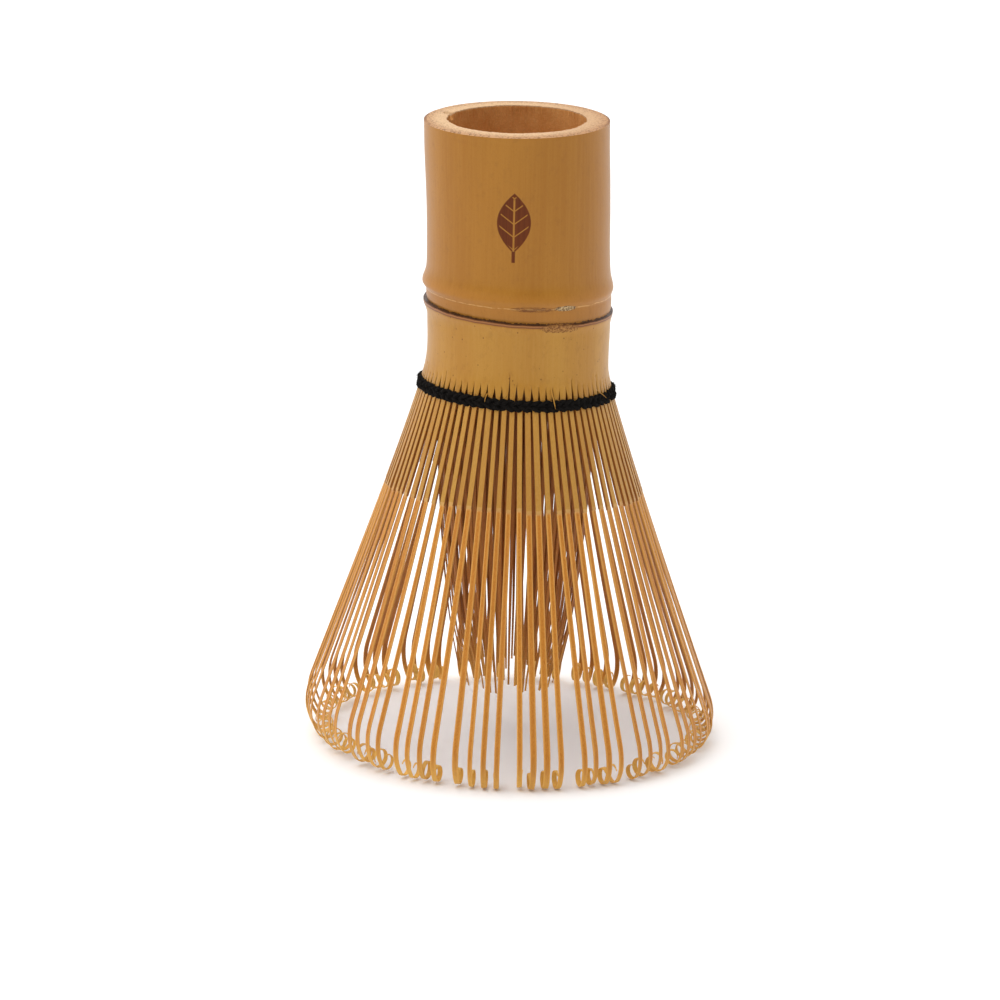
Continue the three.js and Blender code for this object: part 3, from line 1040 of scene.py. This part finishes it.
def strand_rings(turns, radius, rise, twist, thick, offset, roughness, seed):
    """One strand of a twisted thread laid round the whisk, as rings along its length. It winds
    round the thread's middle, offset from it, and thins and sinks in at its two ends."""
    local = np.random.default_rng(seed)
    from_end = np.minimum(turns - turns[0], turns[-1] - turns)
    sunk = 1 - smooth(0, THREAD_TUCK, from_end)
    twist = twist + 0.5 * waves(turns, (3, 11, 17, 23), seed + 2)
    over_tines = 0.1 * np.cos((turns - FRONT - TINE_ANGLE / 2) * TOOTH_COUNT)
    r = radius + over_tines + offset * np.cos(twist) + 0.03 * waves(turns, (7, 19, 33), seed)
    sag = THREAD_SAG * np.maximum(0, np.cos(turns - FRONT)) ** 2
    r = r - 0.55 * sunk + sag * math.tan(FLARE_TOP)
    x = r * np.cos(turns)
    y = r * np.sin(turns)
    z = weave_over(x, y) + rise + offset * np.sin(twist)
    z += 0.04 * waves(turns, (5, 13, 27), seed + 1) - sag
    centre = np.stack([x, y, z], axis=1)
    outward, _ = directions(turns)
    up = np.cross(unit(np.gradient(centre, axis=0)), outward)
    rings = []
    for side in range(STRAND_SIDES):
        angle = side / STRAND_SIDES * WHOLE_TURN
        lumps = 1 + roughness * local.normal(0, 1, len(turns))
        size = thick / 2 * lumps * (1 - 0.45 * sunk)
        rings.append(centre + (outward * math.cos(angle) + up * math.sin(angle)) * size[:, None])
    return np.stack(rings, axis=1)


def add_fuzz(lofts, local, count, radius, heights, lengths):
    """Loose cotton hairs that stand off a thread."""
    for _ in range(count):
        azimuth = local.uniform(0, WHOLE_TURN)
        height = local.uniform(*heights)
        outward, along = directions(azimuth)
        x, y = radius * outward[:2]
        start = np.array([x, y, weave_over(x, y) + height])
        lean = local.normal(0, 1, 2)
        away = outward * local.uniform(0.5, 1.2) + along * lean[0] + UP * lean[1] * 0.8
        away /= np.linalg.norm(away)
        bend = along * local.normal(0, 0.6) + UP * local.normal(0, 0.6)
        length = local.uniform(*lengths)
        steps = np.linspace(0, 1, 5)[:, None]
        centre = start + away * length * steps + bend * length * 0.5 * steps**2
        size = HAIR_RADIUS * (1 - 0.6 * steps)
        first = np.cross(away, UP)
        first /= np.linalg.norm(first)
        second = np.cross(away, first)
        rings = [
            centre + (first * math.cos(turn) + second * math.sin(turn)) * size
            for turn in (0, WHOLE_TURN / 3, WHOLE_TURN * 2 / 3)
        ]
        lofts.add(np.stack(rings, axis=1))


def upper_weave(material):
    """Two rounds of twisted black cotton, the second under the first, wound as one thread over a
    core. It steps down from one to the other at the back, and its twist changes hand there."""
    local = np.random.default_rng(77)
    lofts = Lofts()
    turns = np.linspace(-STEP_HALF_ANGLE, 2 * WHOLE_TURN + STEP_HALF_ANGLE, 1850)
    stepped = smooth(WHOLE_TURN - STEP_HALF_ANGLE, WHOLE_TURN + STEP_HALF_ANGLE, turns)
    rise = ROUND_RISE * (1 - 2 * stepped)
    for phase in (0, math.pi):
        twist = phase - TWISTS * np.abs(turns - WHOLE_TURN)
        rings = strand_rings(turns + BACK, UPPER_RADIUS - 0.15 * rise, rise, twist, UPPER_STRAND,
                             STRAND_OFFSET, 0.05, 5 + int(phase))
        lofts.add(rings)
    core = np.linspace(0, WHOLE_TURN + THREAD_TUCK, 900)
    lofts.add(strand_rings(core + BACK, CORE_RADIUS, 0.0, 0.0, UPPER_STRAND, 0.0, 0.05, 61))
    add_fuzz(lofts, local, 1500, 16.0, (-1.0, 1.0), (0.2, 0.75))
    piece = lofts.build("upper_weave_black_thread", [material])
    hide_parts("upper_weave_thread")
    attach(piece, "handle")


def lower_weave(material):
    """The thread between the two rows of tines."""
    local = np.random.default_rng(78)
    lofts = Lofts()
    turns = np.linspace(0, WHOLE_TURN + THREAD_TUCK, 600)
    for phase in (0, math.pi):
        rings = strand_rings(turns + BACK, LOWER_RADIUS, 0.0, phase + TWISTS * turns,
                             LOWER_STRAND, STRAND_OFFSET, 0.035, 31 + int(phase))
        lofts.add(rings)
    add_fuzz(lofts, local, 120, 13.9, (-0.5, 0.2), (0.2, 0.6))
    piece = lofts.build("lower_weave_black_thread", [material])
    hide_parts("lower_weave_thread")
    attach(piece, "handle")


# ---- the whisk ----

culm = culm_piece([skin_material(), end_grain_material(), bore_material()])
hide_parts("culm_handle")
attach(culm, "handle")

tine_pieces("outer", outer_tine, outer_tine_material())
tine_pieces("inner", inner_tine, inner_tine_material())

cotton = thread_material()
upper_weave(cotton)
lower_weave(cotton)

# ---- floor, light and camera ----

FLOOR_HALF_M = 2.5
SUN_SPREAD = math.radians(50)
CAMERA_DISTANCE_M = 1.041
CAMERA_AIM_M = Vector((-0.00225, 0, 0.03977))
CAMERA_ELEVATION = math.radians(14.97)
CAMERA_LEAN = math.radians(1.27)


def make_floor():
    mesh = bpy.data.meshes.new("floor")
    signs = ((-1, -1), (1, -1), (1, 1), (-1, 1))
    corners = [(x * FLOOR_HALF_M, y * FLOOR_HALF_M, 0) for x, y in signs]
    mesh.from_pydata(corners, [], [(0, 1, 2, 3)])
    floor = bpy.data.objects.new("floor", mesh)
    bpy.context.scene.collection.objects.link(floor)
    material = bpy.data.materials.new("pale_floor")
    material.use_nodes = True
    shader = material.node_tree.nodes["Principled BSDF"]
    shader.inputs["Base Color"].default_value = (0.93, 0.93, 0.93, 1)
    shader.inputs["Roughness"].default_value = 0.9
    shader.inputs["Specular IOR Level"].default_value = 0.1
    mesh.materials.append(material)


def make_light():
    """A white studio that is dim on the camera's side, and two wide soft suns."""
    world = bpy.data.worlds.new("studio")
    bpy.context.scene.world = world
    world.use_nodes = True
    nodes = world.node_tree.nodes
    links = world.node_tree.links
    direction = nodes.new("ShaderNodeTexCoord")
    parts = nodes.new("ShaderNodeSeparateXYZ")
    links.new(direction.outputs["Generated"], parts.inputs[0])
    strength = nodes.new("ShaderNodeMapRange")
    strength.interpolation_type = "SMOOTHSTEP"
    links.new(parts.outputs["Y"], strength.inputs["Value"])
    for socket, value in (("From Min", -0.85), ("From Max", 0.1), ("To Min", 0.2), ("To Max", 1)):
        strength.inputs[socket].default_value = value
    background = nodes["Background"]
    background.inputs["Color"].default_value = (1, 1, 1, 1)
    links.new(strength.outputs["Result"], background.inputs["Strength"])

    for name, energy, heading in (("back_sun", 0.9, (0.15, -0.35, -1)),
                                  ("front_sun", 1.3, (0.42, 0.5, -1))):
        data = bpy.data.lights.new(name, "SUN")
        data.energy = energy
        data.angle = SUN_SPREAD
        sun = bpy.data.objects.new(name, data)
        bpy.context.scene.collection.objects.link(sun)
        sun.rotation_euler = Vector(heading).to_track_quat("-Z", "Y").to_euler()


def make_camera():
    """The camera stands in front and a little above, and leans a little."""
    data = bpy.data.cameras.new("camera")
    data.sensor_width = 36
    data.lens = 229.2
    data.clip_start = 0.05
    camera = bpy.data.objects.new("camera", data)
    bpy.context.scene.collection.objects.link(camera)
    back = Vector((0, -math.cos(CAMERA_ELEVATION), math.sin(CAMERA_ELEVATION)))
    upright = back.to_track_quat("Z", "Y").to_matrix()
    turned = upright @ Matrix.Rotation(CAMERA_LEAN, 3, "Z")
    place = CAMERA_AIM_M + back * CAMERA_DISTANCE_M
    camera.matrix_world = Matrix.Translation(place) @ turned.to_4x4()
    bpy.context.scene.camera = camera


make_floor()
make_light()
make_camera()
bpy.context.scene.view_settings.view_transform = "Standard"
